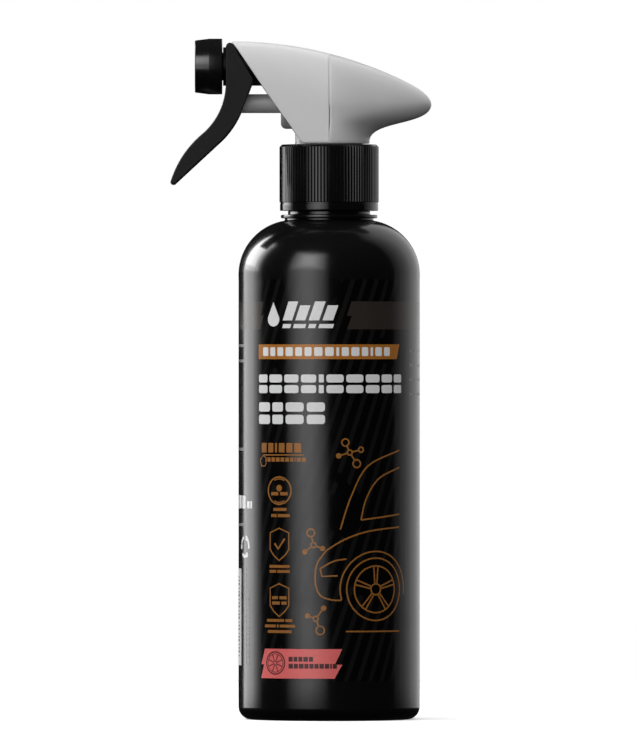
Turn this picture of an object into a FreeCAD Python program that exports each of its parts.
import FreeCAD, Part
import math
import os
import re
import Sketcher

# A 500 ml trigger-spray bottle. +Z is up, the origin is the centre of the bottle's base, the nozzle
# points along -X and the printed front of the bottle faces -Y. All sizes are in millimetres.

os.makedirs("parts", exist_ok=True)
doc = FreeCAD.newDocument("spray_bottle")
sheet = doc.addObject("Spreadsheet::Sheet", "dims")

DRIVING_DIMENSIONS = {
    # bottle
    "body_radius": 32.5, "heel_radius": 4.5, "wall": 1.0, "base_ring_outer": 28.0,
    "base_ring_inner": 20.0, "base_dish_radius": 17.0, "base_dish_depth": 1.6,
    "shoulder_radius": 19.7, "shoulder_z": 159.3, "neck_root_radius": 15.6,
    "bead_radius": 17.3, "bead_z": 179.6, "bead_height": 1.2, "boss_radius": 14.75,
    "neck_radius": 12.6, "neck_base_z": 182.2, "neck_bore": 10.8, "lip_z": 201.0,
    # label
    "label_thickness": 0.12, "label_low_z": 14.2, "label_high_z": 157.6, "label_gap": 0.3,
    # screw thread shared by the neck and the closure
    "pitch": 4.23, "thread_crest": 13.7, "thread_start_z": 188.0, "thread_turns": 1.5,
    "thread_sink": 0.3, "ridge_half_root": 1.15, "ridge_half_crest": 0.5,
    "groove_half_root": 1.0, "groove_half_crest": 0.4,
    "closure_crest": 12.95, "closure_root": 14.0, "closure_turns": 1.25,
    # closure
    "closure_low_z": 182.3, "closure_top_z": 206.0, "closure_roof": 2.0, "closure_hole": 12.5,
    "band_radius": 17.6, "band_height": 2.4, "skirt_radius": 17.45, "skirt_inner": 16.2,
    "sleeve_outer": 15.1, "sleeve_low_z": 183.2, "rib_radius": 17.8, "rib_width": 0.6,
    "rib_count": 96,
    # gasket and pump base
    "gasket_thickness": 0.95, "gasket_inner": 10.9, "flange_radius": 13.5, "flange_z": 202.0,
    "flange_thickness": 1.8, "base_radius": 12.2, "base_wall": 1.4, "base_top_z": 213.0,
    # pump chamber and piston, on a horizontal axis
    "chamber_z": 220.7, "chamber_radius": 9.07, "chamber_bore": 7.0, "chamber_front": -17.3,
    "chamber_bore_end": 0.4, "chamber_back": 2.4, "guide_thickness": 1.3,
    "rod_radius": 3.4, "rod_front": -35.5, "rod_dome": 1.4, "piston_front": -15.5,
    "piston_length": 4.5, "piston_radius": 6.95, "spigot_radius": 2.4,
    "spring_radius": 4.9, "spring_wire": 0.4, "spring_coils": 4.5,
    # riser, dip tube and inlet valve
    "riser_x": 5.0, "riser_radius": 3.6, "riser_bore": 1.5, "riser_top_z": 233.8,
    "socket_radius": 5.0, "socket_bore": 4.0, "socket_low_z": 192.0, "seat_z": 205.5,
    "seat_bore": 1.4, "cage_bore": 2.5, "cage_top_z": 210.2, "ball_radius": 2.1,
    "tube_radius": 3.0, "tube_bore": 2.2, "tube_low_z": 5.0, "tube_top_z": 202.0,
    # outlet duct, barrel and outlet valve
    "duct_z": 231.6, "duct_radius": 3.6, "duct_bore": 2.6, "duct_front": -20.0,
    "barrel_z": 234.0, "barrel_radius": 6.9, "barrel_front": -38.0, "barrel_back": -24.0,
    "barrel_bore": 3.2, "valve_seat_x": -28.0, "valve_hole": 1.2, "spigot_front": -44.6,
    "nose_radius": 5.0, "seal_x": -41.0, "seal_section": 0.6,
    "poppet_radius": 2.2, "poppet_length": 2.0, "outlet_spring_radius": 2.2,
    "outlet_spring_wire": 0.25, "outlet_spring_coils": 5.0, "swirl_back": -38.2,
    # trigger
    "pivot_x": -34.5, "pivot_z": 238.0, "pin_radius": 1.2, "pin_clearance": 0.1,
    "lug_half_width": 7.0, "trigger_half_width": 8.5, "cheek_thickness": 1.2,
    "trigger_front": -37.0, "trigger_wall": 1.6, "bend_z": 228.1, "bend_radius": 24.2,
    "bend_angle": 50.0, "flick_radius": 35.5, "flick_end_angle": 16.4, "channel_end_angle": 30.0,
    "window_z": 226.4, "trigger_top_z": 240.9, "trigger_top_round": 1.5, "ear_x": -34.26,
    "ear_z": 241.75, "heel_x": -26.9, "heel_z": 229.2, "elbow_x": -31.6, "elbow_z": 217.1,
    "back_radius": 31.3, "calf_x": -38.4, "calf_z": 207.3, "tip_length": 1.5, "tip_drop": 0.8,
    # nozzle cap
    "nozzle_front": -48.1, "nozzle_back": -38.3, "nozzle_radius": 10.0,
    "nozzle_front_radius": 9.35, "nozzle_cone_x": -43.0, "nozzle_wall": 1.4,
    "orifice_radius": 0.4, "insert_radius": 2.4,
    # shroud
    "shroud_wall": 1.3, "shroud_low_z": 206.4, "shroud_tip_x": -34.7, "shroud_top_z": 243.0,
    "roof_radius": 140.6, "shroud_foot_x": -9.4, "front_edge_radius": 600.0, "tail_x": 36.7,
    "tail_z": 219.9, "shroud_neck": 14.5, "front_half_width": 8.7, "waist_half_width": 13.8,
    "seam_gap": 0.2, "roof_end_x": 31.8, "roof_end_z": 226.3, "tail_top_radius": 6.4,
    "tail_low_radius": 7.0, "belly_x": 29.7, "belly_z": 214.3, "throat_x": 20.8,
    "throat_z": 212.9, "throat_radius": 5.6, "flare_z": 208.3, "side_radius": 48.0,
    "tail_side_x": 33.0, "tail_half_width": 6.2, "tail_plan_radius": 7.2,
}

for row, (alias, size) in enumerate(DRIVING_DIMENSIONS.items(), start=1):
    sheet.set(f"A{row}", alias)
    sheet.set(f"B{row}", str(size))
    sheet.setAlias(f"B{row}", alias)
doc.recompute()

PLANE_ROTATION = {
    "XY_Plane": FreeCAD.Rotation(),
    "XZ_Plane": FreeCAD.Rotation(FreeCAD.Vector(1, 0, 0), 90),
    "YZ_Plane": FreeCAD.Rotation(FreeCAD.Vector(1, 1, 1), 120),
}
AXIS_ROTATION = {
    "X": FreeCAD.Rotation(FreeCAD.Vector(0, 1, 0), 90),
    "Y": FreeCAD.Rotation(FreeCAD.Vector(1, 0, 0), -90),
    "Z": FreeCAD.Rotation(),
}
WIDE = 60.0        # wider than the whole spray head: the span of symmetric cuts and boxes
CHAMBER_RIM_ROUND = 1.9


def bound(text):
    """The expression with each sheet alias written as dims.alias."""
    return re.sub(r"[a-z]\w*", lambda w: "dims." + w.group() if w.group() in DRIVING_DIMENSIONS
                  else w.group(), str(text))


def number(text):
    """The value that an expression in sheet aliases has now."""
    return float(sheet.evalExpression(str(text)))


def bind(thing, **expressions):
    """Ties properties of a document object to expressions in sheet aliases."""
    for name, text in expressions.items():
        thing.setExpression(name.replace("__", "."), bound(text))


def arc_middle(start, end, radius):
    """The middle of the short arc from start to end: counter-clockwise if radius is positive."""
    chord = end - start
    half = chord.Length / 2
    rise = abs(radius) - math.sqrt(max(radius ** 2 - half ** 2, 0.0))
    outward = FreeCAD.Vector(chord.y, -chord.x, 0).normalize()
    return start + chord / 2 + outward * math.copysign(rise, radius)


def sketch(name, plane, points, body=None, lift=(0, 0, 0)):
    """A closed sketch through points (x, y) or (x, y, radius of the arc to the next point).

    All entries are expressions in sheet aliases, and each one becomes a constraint that is bound
    to the sheet. lift moves the sketch's origin in its own axes."""
    if body:
        drawing = body.newObject("Sketcher::SketchObject", name)
        origin_plane = next(f for f in body.Origin.OriginFeatures if f.Role == plane)
        drawing.AttachmentSupport = [(origin_plane, "")]
        drawing.MapMode = "FlatFace"
        drawing.AttachmentOffset = FreeCAD.Placement(
            FreeCAD.Vector(*[number(part) for part in lift]), FreeCAD.Rotation())
        for axis, part in zip("xyz", lift):
            drawing.setExpression(f"AttachmentOffset.Base.{axis}", bound(part))
    else:
        drawing = doc.addObject("Sketcher::SketchObject", name)
        drawing.Placement = FreeCAD.Placement(FreeCAD.Vector(), PLANE_ROTATION[plane])
    corners = [FreeCAD.Vector(number(p[0]), number(p[1]), 0) for p in points]
    for index, point in enumerate(points):
        start, end = corners[index], corners[(index + 1) % len(corners)]
        if len(point) == 3:
            middle = arc_middle(start, end, number(point[2]))
            edge = Part.Arc(start, middle, end)
        else:
            edge = Part.LineSegment(start, end)
        drawing.addGeometry(edge, False)
    for index, point in enumerate(points):
        # A clockwise arc is stored counter-clockwise, so its first point is its end.
        clockwise = len(point) == 3 and number(point[2]) < 0
        here = 2 if clockwise else 1
        previous = points[index - 1]
        before = 1 if len(previous) == 3 and number(previous[2]) < 0 else 2
        link = Sketcher.Constraint("Coincident", (index - 1) % len(points), before, index, here)
        drawing.addConstraint(link)
        for kind, entry in (("DistanceX", point[0]), ("DistanceY", point[1])):
            row = drawing.addConstraint(
                Sketcher.Constraint(kind, -1, 1, index, here, number(entry)))
            drawing.setExpression(f"Constraints[{row}]", bound(entry))
        if len(point) == 3:
            row = drawing.addConstraint(
                Sketcher.Constraint("Radius", index, abs(number(point[2]))))
            drawing.setExpression(f"Constraints[{row}]", bound(f"abs({point[2]})"))
    return drawing


def new_body(label):
    body = doc.addObject("PartDesign::Body", label)
    body.Label = label
    return body


def revolution(body, drawing, axis="V_Axis"):
    feature = body.newObject("PartDesign::Revolution", drawing.Name + "_turned")
    feature.Profile = drawing
    feature.ReferenceAxis = (drawing, [axis])
    feature.Angle = 360
    return feature


def slab(body, kind, drawing, span):
    """A Pad or a Pocket that reaches half its span to each side of the sketch."""
    feature = body.newObject("PartDesign::" + kind, drawing.Name + "_" + kind.lower())
    feature.Profile = drawing
    feature.Midplane = True
    feature.Length = number(span)
    bind(feature, Length=span)
    return feature


def thread(body, drawing, turns):
    feature = body.newObject("PartDesign::AdditiveHelix", drawing.Name + "_helix")
    feature.Profile = drawing
    feature.ReferenceAxis = (drawing, ["V_Axis"])
    feature.Mode = "pitch-turns-angle"
    bind(feature, Pitch="pitch", Turns=turns)
    return feature


def cylinder(name, axis, at, radius, length):
    """A cylinder that starts at the point at and runs along +axis."""
    shape = doc.addObject("Part::Cylinder", name)
    shape.Placement = FreeCAD.Placement(FreeCAD.Vector(), AXIS_ROTATION[axis])
    bind(shape, Radius=radius, Height=length, Placement__Base__x=at[0], Placement__Base__y=at[1],
         Placement__Base__z=at[2])
    return shape


def rounded_start(shape, radius):
    """A cylinder with its starting edge rounded."""
    doc.recompute()
    rounded = doc.addObject("Part::Fillet", shape.Name + "_rounded")
    rounded.Base = shape
    rounded.Edges = [(2, radius, radius)]
    return rounded


def box(name, low, size):
    shape = doc.addObject("Part::Box", name)
    bind(shape, Length=size[0], Width=size[1], Height=size[2], Placement__Base__x=low[0],
         Placement__Base__y=low[1], Placement__Base__z=low[2])
    return shape


def joined(label, *pieces):
    shape = doc.addObject("Part::MultiFuse", label)
    shape.Shapes = list(pieces)
    shape.Label = label
    return shape


def shared(label, *pieces):
    shape = doc.addObject("Part::MultiCommon", label)
    shape.Shapes = list(pieces)
    shape.Label = label
    return shape


def cut(label, base, *tools):
    shape = doc.addObject("Part::Cut", label)
    shape.Base = base
    shape.Tool = tools[0] if len(tools) == 1 else joined(label + "_tools", *tools)
    shape.Label = label
    return shape


def extruded(name, drawing, length):
    """A straight extrusion, half to each side of the sketch."""
    shape = doc.addObject("Part::Extrusion", name)
    shape.Base = drawing
    shape.DirMode = "Normal"
    shape.Symmetric = True
    shape.Solid = True
    shape.LengthFwd = length
    return shape


def coil(label, start_x, axis_z, length, radius, wire, coils):
    """A compression spring along +X: a round wire swept along a helix."""
    path = doc.addObject("Part::Helix", label + "_path")
    path.SegmentLength = 0.5
    bind(path, Pitch=f"({length}) / ({coils})", Height=length, Radius=radius)
    section = doc.addObject("Part::Circle", label + "_section")
    section.Placement = FreeCAD.Placement(
        FreeCAD.Vector(), FreeCAD.Rotation(FreeCAD.Vector(1, 0, 0), 90))
    bind(section, Radius=wire, Placement__Base__x=radius)
    doc.recompute()
    shape = doc.addObject("Part::Sweep", label)
    shape.Sections = [section]
    shape.Spine = (path, [f"Edge{count + 1}" for count in range(len(path.Shape.Edges))])
    shape.Solid = True
    shape.Frenet = True
    shape.Label = label
    shape.Placement = FreeCAD.Placement(FreeCAD.Vector(), AXIS_ROTATION["X"])
    bind(shape, Placement__Base__x=start_x, Placement__Base__z=axis_z)
    return shape


def make_bottle():
    """Blown bottle: one turned wall with a dished base, a label recess and a threaded neck."""
    inner_radius = "(body_radius - label_thickness - wall)"
    shoulder_centre = "(body_radius - shoulder_radius)"
    neck_root_z = f"shoulder_z + sqrt(shoulder_radius^2 - (neck_root_radius - {shoulder_centre})^2)"
    inner_arc = f"({inner_radius} - {shoulder_centre})"
    inner_root_z = f"shoulder_z + sqrt({inner_arc}^2 - (neck_bore + 2.2 - {shoulder_centre})^2)"
    body = new_body("bottle")
    wall = sketch("bottle_wall", "XZ_Plane", [
        ("0", "base_dish_depth"),
        ("base_dish_radius", "base_dish_depth"),
        ("base_ring_inner", "0"),
        ("base_ring_outer", "0", "heel_radius"),
        ("body_radius", "heel_radius"),
        ("body_radius", "label_low_z - label_gap"),
        ("body_radius - label_thickness", "label_low_z - label_gap"),
        ("body_radius - label_thickness", "label_high_z + label_gap"),
        ("body_radius", "label_high_z + label_gap"),
        ("body_radius", "shoulder_z", "shoulder_radius"),
        ("neck_root_radius", neck_root_z),
        ("neck_root_radius", "bead_z"),
        ("bead_radius", "bead_z"),
        ("bead_radius", "bead_z + bead_height"),
        ("boss_radius", "bead_z + bead_height"),
        ("boss_radius", "neck_base_z"),
        ("neck_radius", "neck_base_z"),
        ("neck_radius", "lip_z"),
        ("neck_bore", "lip_z"),
        ("neck_bore", "bead_z"),
        ("neck_bore + 2.2", inner_root_z, f"-{inner_arc}"),
        (inner_radius, "shoulder_z"),
        (inner_radius, "heel_radius + wall", "-heel_radius"),
        ("base_ring_outer - wall", "wall + 0.2"),
        ("base_ring_inner + wall", "wall + 0.2"),
        ("base_dish_radius", "base_dish_depth + wall + 0.2"),
        ("0", "base_dish_depth + wall + 0.2"),
    ], body)
    revolution(body, wall)
    ridge = sketch("neck_thread", "XZ_Plane", [
        ("neck_radius - thread_sink", "thread_start_z - ridge_half_root"),
        ("thread_crest", "thread_start_z - ridge_half_crest"),
        ("thread_crest", "thread_start_z + ridge_half_crest"),
        ("neck_radius - thread_sink", "thread_start_z + ridge_half_root"),
    ], body)
    thread(body, ridge, "thread_turns")
    return body


def make_label():
    body = new_body("label")
    film = sketch("label_film", "XZ_Plane", [
        ("body_radius - label_thickness", "label_low_z"), ("body_radius", "label_low_z"),
        ("body_radius", "label_high_z"), ("body_radius - label_thickness", "label_high_z"),
    ], body)
    revolution(body, film)
    return body


def make_closure():
    """Double-walled screw closure: a ribbed skirt around a threaded sleeve."""
    body = new_body("closure")
    roof_z = "closure_top_z - closure_roof"
    profile = sketch("closure_wall", "XZ_Plane", [
        ("skirt_inner", "closure_low_z"),
        ("band_radius", "closure_low_z"),
        ("band_radius", "closure_low_z + band_height"),
        ("skirt_radius", "closure_low_z + band_height"),
        ("skirt_radius", "closure_top_z - 0.6", "0.6"),
        ("skirt_radius - 0.6", "closure_top_z"),
        ("closure_hole", "closure_top_z"),
        ("closure_hole", roof_z),
        ("closure_root", roof_z),
        ("closure_root", "sleeve_low_z"),
        ("sleeve_outer", "sleeve_low_z"),
        ("sleeve_outer", f"{roof_z} - 1"),
        ("skirt_inner", f"{roof_z} - 1"),
    ], body)
    revolution(body, profile)
    ridge = sketch("closure_thread", "XZ_Plane", [
        ("closure_root + thread_sink", "thread_start_z + pitch / 2 - groove_half_root"),
        ("closure_root + thread_sink", "thread_start_z + pitch / 2 + groove_half_root"),
        ("closure_crest", "thread_start_z + pitch / 2 + groove_half_crest"),
        ("closure_crest", "thread_start_z + pitch / 2 - groove_half_crest"),
    ], body)
    thread(body, ridge, "closure_turns")
    doc.recompute()
    rib_low_z = "closure_low_z + band_height + 0.2"
    section = sketch("rib_section", "XY_Plane", [
        ("skirt_radius - 0.2", "-rib_width / 2"), ("rib_radius", "-rib_width / 3"),
        ("rib_radius", "rib_width / 3"), ("skirt_radius - 0.2", "rib_width / 2"),
    ], body, lift=("0", "0", rib_low_z))
    rib = body.newObject("PartDesign::Pad", "rib")
    rib.Profile = section
    bind(rib, Length=f"closure_top_z - 0.7 - ({rib_low_z})")
    ribs = body.newObject("PartDesign::PolarPattern", "ribs")
    ribs.Originals = [rib]
    ribs.Axis = (section, ["N_Axis"])
    ribs.Angle = 360
    bind(ribs, Occurrences="rib_count")
    body.Tip = ribs
    return body


def make_pump_body():
    """Flange, base, horizontal pump chamber, riser and outlet duct moulded as one piece."""
    flange_top = "flange_z + flange_thickness"
    solid = joined(
        "pump_solid",
        cylinder("flange", "Z", ("0", "0", "flange_z"), "flange_radius", "flange_thickness"),
        cut("base_ring",
            cylinder("base_outer", "Z", ("0", "0", flange_top), "base_radius",
                     f"base_top_z - ({flange_top})"),
            cylinder("base_inner", "Z", ("0", "0", flange_top), "base_radius - base_wall",
                     f"base_top_z - ({flange_top})")),
        rounded_start(
            cylinder("chamber_outer", "X", ("chamber_front", "0", "chamber_z"), "chamber_radius",
                     "chamber_back - chamber_front"), CHAMBER_RIM_ROUND),
        cylinder("socket_outer", "Z", ("riser_x", "0", "socket_low_z"), "socket_radius",
                 "seat_z + 1 - socket_low_z"),
        cylinder("riser_outer", "Z", ("riser_x", "0", "seat_z"), "riser_radius",
                 "riser_top_z - seat_z"),
        cylinder("duct_outer", "X", ("duct_front", "0", "duct_z"), "duct_radius",
                 "riser_x - duct_front"),
    )
    return cut(
        "pump_body", solid,
        cylinder("chamber_void", "X", ("chamber_front", "0", "chamber_z"), "chamber_bore",
                 "chamber_bore_end - chamber_front"),
        cylinder("inlet_port", "X", ("chamber_bore_end - 1", "0", "chamber_z - 4"), "0.9",
                 "riser_x + 1 - chamber_bore_end"),
        cylinder("socket_void", "Z", ("riser_x", "0", "socket_low_z"), "socket_bore",
                 "seat_z - socket_low_z"),
        cylinder("cage_void", "Z", ("riser_x", "0", "seat_z"), "cage_bore", "cage_top_z - seat_z"),
        cylinder("riser_void", "Z", ("riser_x", "0", "cage_top_z"), "riser_bore",
                 "duct_z - cage_top_z"),
        cylinder("duct_void", "X", ("duct_front", "0", "duct_z"), "duct_bore", "10"),
        cylinder("duct_passage", "X", ("duct_front + 10", "0", "duct_z"), "riser_bore",
                 "riser_x - duct_front - 10"),
    )


def make_barrel():
    """Outlet barrel: valve bore in front, spigot into the pump's duct behind, trigger pins."""
    back_spigot = "duct_front + 8 - barrel_back"
    lug_low_x, lug_length = "pivot_x - 2", "4"
    solid = joined(
        "barrel_solid",
        cylinder("barrel_outer", "X", ("barrel_front", "0", "barrel_z"), "barrel_radius",
                 "barrel_back - barrel_front"),
        cylinder("barrel_nose", "X", ("spigot_front", "0", "barrel_z"), "nose_radius",
                 "barrel_front - spigot_front"),
        cylinder("barrel_spigot", "X", ("barrel_back", "0", "duct_z"), "duct_bore", back_spigot),
        box("pivot_lug", (lug_low_x, "-lug_half_width", "pivot_z - 2.5"),
            (lug_length, "2 * lug_half_width", "4.7")),
        cylinder("pivot_pin", "Y", ("pivot_x", "-trigger_half_width + 0.1", "pivot_z"),
                 "pin_radius", "2 * trigger_half_width - 0.2"),
    )
    seal_groove = cut(
        "seal_groove",
        cylinder("groove_outer", "X", ("seal_x - seal_section - 0.1", "0", "barrel_z"),
                 "nose_radius + 1", "2 * seal_section + 0.2"),
        cylinder("groove_inner", "X", ("seal_x - seal_section - 0.1", "0", "barrel_z"),
                 "nose_radius - 1.2", "2 * seal_section + 0.2"))
    return cut(
        "barrel", solid, seal_groove,
        cylinder("valve_bore", "X", ("spigot_front", "0", "barrel_z"), "barrel_bore",
                 "valve_seat_x - spigot_front"),
        cylinder("valve_port", "X", ("valve_seat_x", "0", "barrel_z"), "valve_hole", "2.4"),
        cylinder("spigot_passage", "X", ("valve_seat_x + 1.4", "0", "duct_z"), "1.5",
                 f"barrel_back + ({back_spigot}) - valve_seat_x - 1.4"),
    )


def shroud_form(name, inset):
    """The cover's closed outer form, or with an inset its inside, open in front and below."""
    top_z = f"shroud_top_z - {inset}"
    low_z = "shroud_low_z" if inset == "0" else "shroud_low_z - 5"
    roof = f"(roof_radius - {inset})"
    shoulder_x = f"roof_end_x - {inset} / 2"
    shoulder_z = f"roof_end_z - {inset} * 0.9"
    side = [
        (shoulder_x, shoulder_z, f"-(tail_top_radius - {inset} / 2)"),
        (f"tail_x - {inset}", "tail_z", f"-(tail_low_radius - {inset} / 2)"),
        ("belly_x", f"belly_z + {inset}"),
        ("throat_x", f"throat_z + {inset}", f"(throat_radius + {inset})"),
        (f"shroud_neck - {inset}", "flare_z"),
        (f"shroud_neck - {inset}", low_z),
    ]
    if inset == "0":
        side += [("shroud_foot_x", low_z, "-front_edge_radius"),
                 ("shroud_tip_x", top_z, f"-{roof}")]
    else:
        side += [("-50", low_z), ("-50", top_z), ("shroud_tip_x", top_z, f"-{roof}")]
    half = [("-50", f"front_half_width - {inset}"),
            ("0", f"waist_half_width - {inset}", "-side_radius"),
            ("tail_side_x", f"tail_half_width - {inset}", "-tail_plan_radius")]
    mirrored = [("tail_side_x", f"-(tail_half_width - {inset})", "-side_radius"),
                ("0", f"-(waist_half_width - {inset})"),
                ("-50", f"-(front_half_width - {inset})")]
    plan = half + [(f"tail_x - {inset} + 0.05", "0", "-tail_plan_radius")] + mirrored
    neck = [("0", f"{low_z} - 1"), (f"shroud_neck - {inset}", f"{low_z} - 1"),
            (f"shroud_neck - {inset}", "flare_z", f"-(throat_radius + {inset})"),
            ("throat_x", f"throat_z + {inset}"), ("tail_x + 8", f"throat_z + {inset}"),
            ("tail_x + 8", "shroud_top_z + 7"), ("0", "shroud_top_z + 7")]
    neck_body = new_body(name + "_neck")
    revolution(neck_body, sketch(name + "_neck_profile", "XZ_Plane", neck, neck_body))
    return shared(
        name,
        extruded(name + "_side", sketch(name + "_side_outline", "XZ_Plane", side), WIDE),
        extruded(name + "_plan", sketch(name + "_plan_outline", "XY_Plane", plan), 10 * WIDE),
        neck_body)


def make_shroud():
    """Two-piece cover over the pump, parted by a vertical seam at x = 0."""
    shell = cut("shroud_shell", shroud_form("shroud_outside", "0"),
                shroud_form("shroud_inside", "shroud_wall"))
    front = shared("front_shroud", shell,
                   box("front_half", ("-seam_gap / 2 - 60", "-30", "200"), ("60", "60", "60")))
    rear = shared("rear_shroud", shell,
                  box("rear_half", ("seam_gap / 2", "-30", "200"), ("60", "60", "60")))
    return [front, rear]


def make_trigger():
    """Finger lever: a bent channel whose cheeks hang from the pins on the barrel."""
    bend_x = "trigger_front - bend_radius * (1 - cos(bend_angle * 1deg))"
    bend_low_z = "bend_z - bend_radius * sin(bend_angle * 1deg)"

    def flick(angle, radius_change):
        """A point of the lower curve, radius_change mm inside the front face."""
        across = f"(flick_radius - {radius_change}) * cos({angle} * 1deg)"
        down = f"(flick_radius - {radius_change}) * sin({angle} * 1deg)"
        return (f"{bend_x} + flick_radius * cos(bend_angle * 1deg) - {across}",
                f"{bend_low_z} - flick_radius * sin(bend_angle * 1deg) + {down}")

    body = new_body("trigger")
    tip = flick("flick_end_angle", "0")
    outline = sketch("trigger_outline", "XZ_Plane", [
        ("trigger_front", "bend_z"),
        ("trigger_front", "trigger_top_z", "-trigger_top_round"),
        ("ear_x", "ear_z"),
        ("heel_x", "heel_z"),
        ("elbow_x", "elbow_z", "-back_radius"),
        ("calf_x", "calf_z"),
        (f"{tip[0]} + tip_length", f"{tip[1]} - tip_drop"),
        (tip[0], tip[1], "-flick_radius"),
        (bend_x, bend_low_z, "bend_radius"),
    ], body)
    slab(body, "Pad", outline, "2 * trigger_half_width")
    inner_bend = (f"{bend_x} + trigger_wall * cos(bend_angle * 1deg)",
                  f"{bend_low_z} - trigger_wall * sin(bend_angle * 1deg)")
    channel_end = flick("channel_end_angle", "trigger_wall")
    channel = sketch("trigger_channel", "XZ_Plane", [
        ("trigger_front + trigger_wall", "bend_z + 20"),
        ("0", "bend_z + 20"),
        ("0", "180"),
        (f"{channel_end[0]} + 6", "180"),
        (channel_end[0], channel_end[1], "-(flick_radius - trigger_wall)"),
        (inner_bend[0], inner_bend[1], "bend_radius + trigger_wall"),
        ("trigger_front + trigger_wall", "bend_z"),
    ], body)
    channel_width = "2 * (trigger_half_width - cheek_thickness)"
    slab(body, "Pocket", channel, channel_width)
    window = sketch("barrel_window", "XZ_Plane", [
        ("trigger_front - 5", "window_z"), ("trigger_front + 5", "window_z"),
        ("trigger_front + 5", "bend_z + 25"), ("trigger_front - 5", "bend_z + 25"),
    ], body)
    slab(body, "Pocket", window, channel_width)
    hole = body.newObject("Sketcher::SketchObject", "pin_hole")
    hole.AttachmentSupport = [
        (next(f for f in body.Origin.OriginFeatures if f.Role == "XZ_Plane"), "")]
    hole.MapMode = "FlatFace"
    hole.addGeometry(Part.Circle(FreeCAD.Vector(number("pivot_x"), number("pivot_z"), 0),
                                 FreeCAD.Vector(0, 0, 1), 1.0), False)
    for kind, place, entry in (("DistanceX", (-1, 1, 0, 3), "pivot_x"),
                               ("DistanceY", (-1, 1, 0, 3), "pivot_z"),
                               ("Radius", (0,), "pin_radius + pin_clearance")):
        row = hole.addConstraint(Sketcher.Constraint(kind, *place, number(entry)))
        hole.setExpression(f"Constraints[{row}]", bound(entry))
    slab(body, "Pocket", hole, "4 * trigger_half_width")
    return body


def make_nozzle_cap():
    """Turned nozzle: an outer skirt and a hub that turns on the barrel's nose."""
    body = new_body("nozzle_cap")
    hub_radius = "nose_radius + 1.3"
    face_x = "nozzle_front + 1.4"
    profile = sketch("nozzle_profile", "XZ_Plane", [
        ("nozzle_front + 0.6", "insert_radius"),
        ("nozzle_front + 0.6", "3.6"),
        (face_x, "4.4"),
        (face_x, "nozzle_front_radius - 1.9"),
        ("nozzle_front", "nozzle_front_radius - 1.2"),
        ("nozzle_front", "nozzle_front_radius - 0.3", "-0.3"),
        ("nozzle_front + 0.3", "nozzle_front_radius"),
        ("nozzle_cone_x", "nozzle_radius"),
        ("nozzle_back - 0.4", "nozzle_radius"),
        ("nozzle_back", "nozzle_radius - 0.4"),
        ("nozzle_back", "nozzle_radius - nozzle_wall"),
        (f"{face_x} + 1.6", "nozzle_front_radius - 1.7"),
        (f"{face_x} + 1.6", hub_radius),
        ("nozzle_back - 0.1", hub_radius),
        ("nozzle_back - 0.1", "nose_radius + 0.1"),
        ("spigot_front - 0.2", "nose_radius + 0.1"),
        ("spigot_front - 0.2", "insert_radius"),
    ], body, lift=("0", "barrel_z", "0"))
    revolution(body, profile, "H_Axis")
    return body


def turned_on_x(label, points, height):
    """A small turned piece about the line z = height, y = 0."""
    body = new_body(label)
    revolution(body, sketch(label + "_profile", "XZ_Plane", points, body, lift=("0", height, "0")),
               "H_Axis")
    return body


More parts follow.
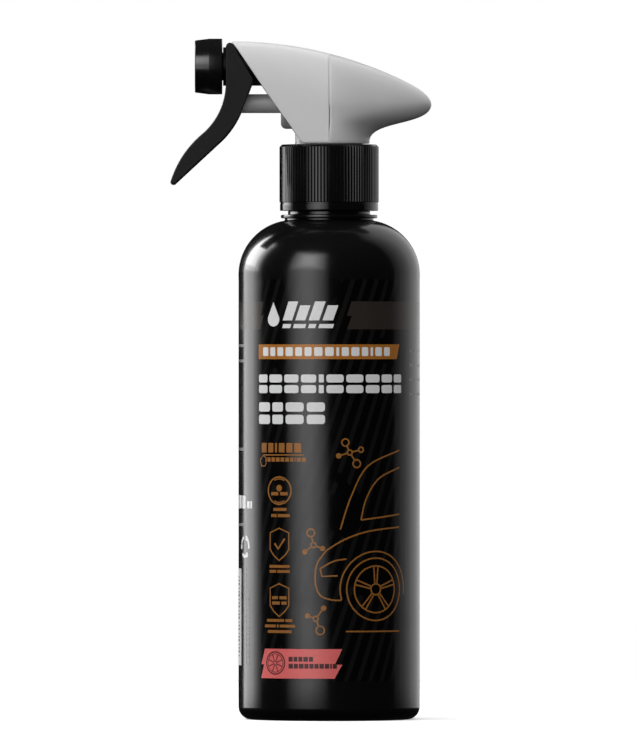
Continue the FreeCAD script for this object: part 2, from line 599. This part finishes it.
def make_small_parts():
    """The pieces inside the pump, the valves and the nozzle."""
    spring_start = "piston_front + piston_length"
    piston_back = "piston_front + piston_length"
    insert_back = "spigot_front - 0.2"
    piston_rod = turned_on_x("piston_rod", [
        ("rod_front", "0"), ("rod_front", "rod_radius - rod_dome", "-rod_dome"),
        ("rod_front + rod_dome", "rod_radius"), ("piston_front", "rod_radius"),
        ("piston_front", "spigot_radius"), (f"{piston_back} - 0.8", "spigot_radius"),
        (f"{piston_back} - 0.8", "0"),
    ], "chamber_z")
    piston_cup = turned_on_x("piston_cup", [
        ("piston_front", "spigot_radius"), ("piston_front", "piston_radius"),
        ("piston_front + 0.8", "piston_radius"), ("piston_front + 1.6", "piston_radius - 0.9"),
        ("piston_front + 2.8", "piston_radius - 0.9"), (f"{piston_back} - 0.5", "piston_radius"),
        (piston_back, "piston_radius"), (piston_back, "piston_radius - 0.8"),
        (f"{piston_back} - 1.2", "piston_radius - 1.6"), (f"{piston_back} - 1.2", "4.2"),
        (f"{piston_back}", "4.0"), (f"{piston_back}", "spigot_radius - 0.6"),
        (f"{piston_back} - 0.8", "spigot_radius - 0.6"), (f"{piston_back} - 0.8", "spigot_radius"),
    ], "chamber_z")
    rod_guide = turned_on_x("rod_guide", [
        ("chamber_front", "rod_radius + 0.2"), ("chamber_front", "chamber_bore"),
        ("chamber_front + guide_thickness", "chamber_bore"),
        ("chamber_front + guide_thickness", "rod_radius + 0.2"),
    ], "chamber_z")
    orifice_insert = turned_on_x("orifice_insert", [
        ("nozzle_front + 0.4", "orifice_radius"), ("nozzle_front + 0.4", "insert_radius"),
        (insert_back, "insert_radius"), (insert_back, "insert_radius - 0.8"),
        ("nozzle_front + 1.6", "insert_radius - 0.8"), ("nozzle_front + 1.6", "orifice_radius"),
    ], "barrel_z")
    outlet_valve = turned_on_x("outlet_valve", [
        ("valve_seat_x - poppet_length - 0.9", "0"), ("valve_seat_x - poppet_length - 0.9", "1.1"),
        ("valve_seat_x - poppet_length", "1.1"), ("valve_seat_x - poppet_length", "poppet_radius"),
        ("valve_seat_x - 0.1", "poppet_radius"), ("valve_seat_x - 0.1", "valve_hole - 0.3"),
        ("valve_seat_x + 0.6", "valve_hole - 0.7"), ("valve_seat_x + 0.6", "0"),
    ], "barrel_z")
    nozzle_seal = doc.addObject("Part::Torus", "nozzle_seal")
    nozzle_seal.Placement = FreeCAD.Placement(FreeCAD.Vector(), AXIS_ROTATION["X"])
    bind(nozzle_seal, Radius1="nose_radius - seal_section + 0.05", Radius2="seal_section",
         Placement__Base__x="seal_x", Placement__Base__z="barrel_z")
    swirl_insert = cut(
        "swirl_insert",
        cylinder("swirl_core", "X", ("spigot_front", "0", "barrel_z"), "barrel_bore",
                 "swirl_back - spigot_front"),
        box("swirl_slot_upright", ("spigot_front", "-0.5", "barrel_z - barrel_bore"),
            ("swirl_back - spigot_front", "1", "0.9")),
        box("swirl_slot_top", ("spigot_front", "-0.5", "barrel_z + barrel_bore - 0.9"),
            ("swirl_back - spigot_front", "1", "0.9")))
    dip_tube = cut(
        "dip_tube",
        cylinder("tube_outer", "Z", ("riser_x", "0", "tube_low_z"), "tube_radius",
                 "tube_top_z - tube_low_z"),
        cylinder("tube_inner", "Z", ("riser_x", "0", "tube_low_z"), "tube_bore",
                 "tube_top_z - tube_low_z"))
    tube_retainer = cut(
        "tube_retainer",
        cylinder("retainer_outer", "Z", ("riser_x", "0", "socket_low_z + 1"), "socket_bore",
                 "seat_z - socket_low_z - 1"),
        cylinder("retainer_socket", "Z", ("riser_x", "0", "socket_low_z + 1"), "tube_radius",
                 "tube_top_z - socket_low_z - 1"),
        cylinder("retainer_seat", "Z", ("riser_x", "0", "tube_top_z"), "seat_bore",
                 "seat_z - tube_top_z"))
    neck_gasket = cut(
        "neck_gasket",
        cylinder("gasket_outer", "Z", ("0", "0", "flange_z - gasket_thickness"), "flange_radius - 0.2",
                 "gasket_thickness"),
        cylinder("gasket_hole", "Z", ("0", "0", "flange_z - gasket_thickness"), "gasket_inner",
                 "gasket_thickness"))
    inlet_ball = doc.addObject("Part::Sphere", "inlet_ball")
    bind(inlet_ball, Radius="ball_radius", Placement__Base__x="riser_x",
         Placement__Base__z="seat_z + sqrt(ball_radius^2 - seat_bore^2) + 0.02")
    return_spring = coil(
        "return_spring", f"{spring_start} + spring_wire + 0.1", "chamber_z",
        f"chamber_bore_end - ({spring_start}) - 2 * spring_wire - 0.2", "spring_radius",
        "spring_wire", "spring_coils")
    outlet_spring = coil(
        "outlet_spring", "swirl_back + outlet_spring_wire + 0.05", "barrel_z",
        "valve_seat_x - poppet_length - swirl_back - 2 * outlet_spring_wire - 0.1",
        "outlet_spring_radius", "outlet_spring_wire", "outlet_spring_coils")
    return [piston_rod, piston_cup, rod_guide, orifice_insert, outlet_valve, nozzle_seal,
            swirl_insert, dip_tube, tube_retainer, neck_gasket, inlet_ball, return_spring,
            outlet_spring]


nodes = [make_bottle(), make_label(), make_closure(), make_pump_body(), make_barrel(),
         *make_shroud(), make_trigger(), make_nozzle_cap(), *make_small_parts()]
doc.recompute()

for item in doc.Objects:
    if "Invalid" in item.State or "Error" in item.State:
        raise RuntimeError(f"{item.Name} did not build: {item.State}")
for node in nodes:
    if node.Shape.isNull() or not node.Shape.isValid() or not node.Shape.Solids:
        raise RuntimeError(f"{node.Label} has no valid solid")
for node in nodes:
    node.Shape.exportStep(f"parts/{node.Label}.step")
    print(f"{node.Label}: {len(node.Shape.Solids)} solid, {node.Shape.Volume:.1f} mm3")
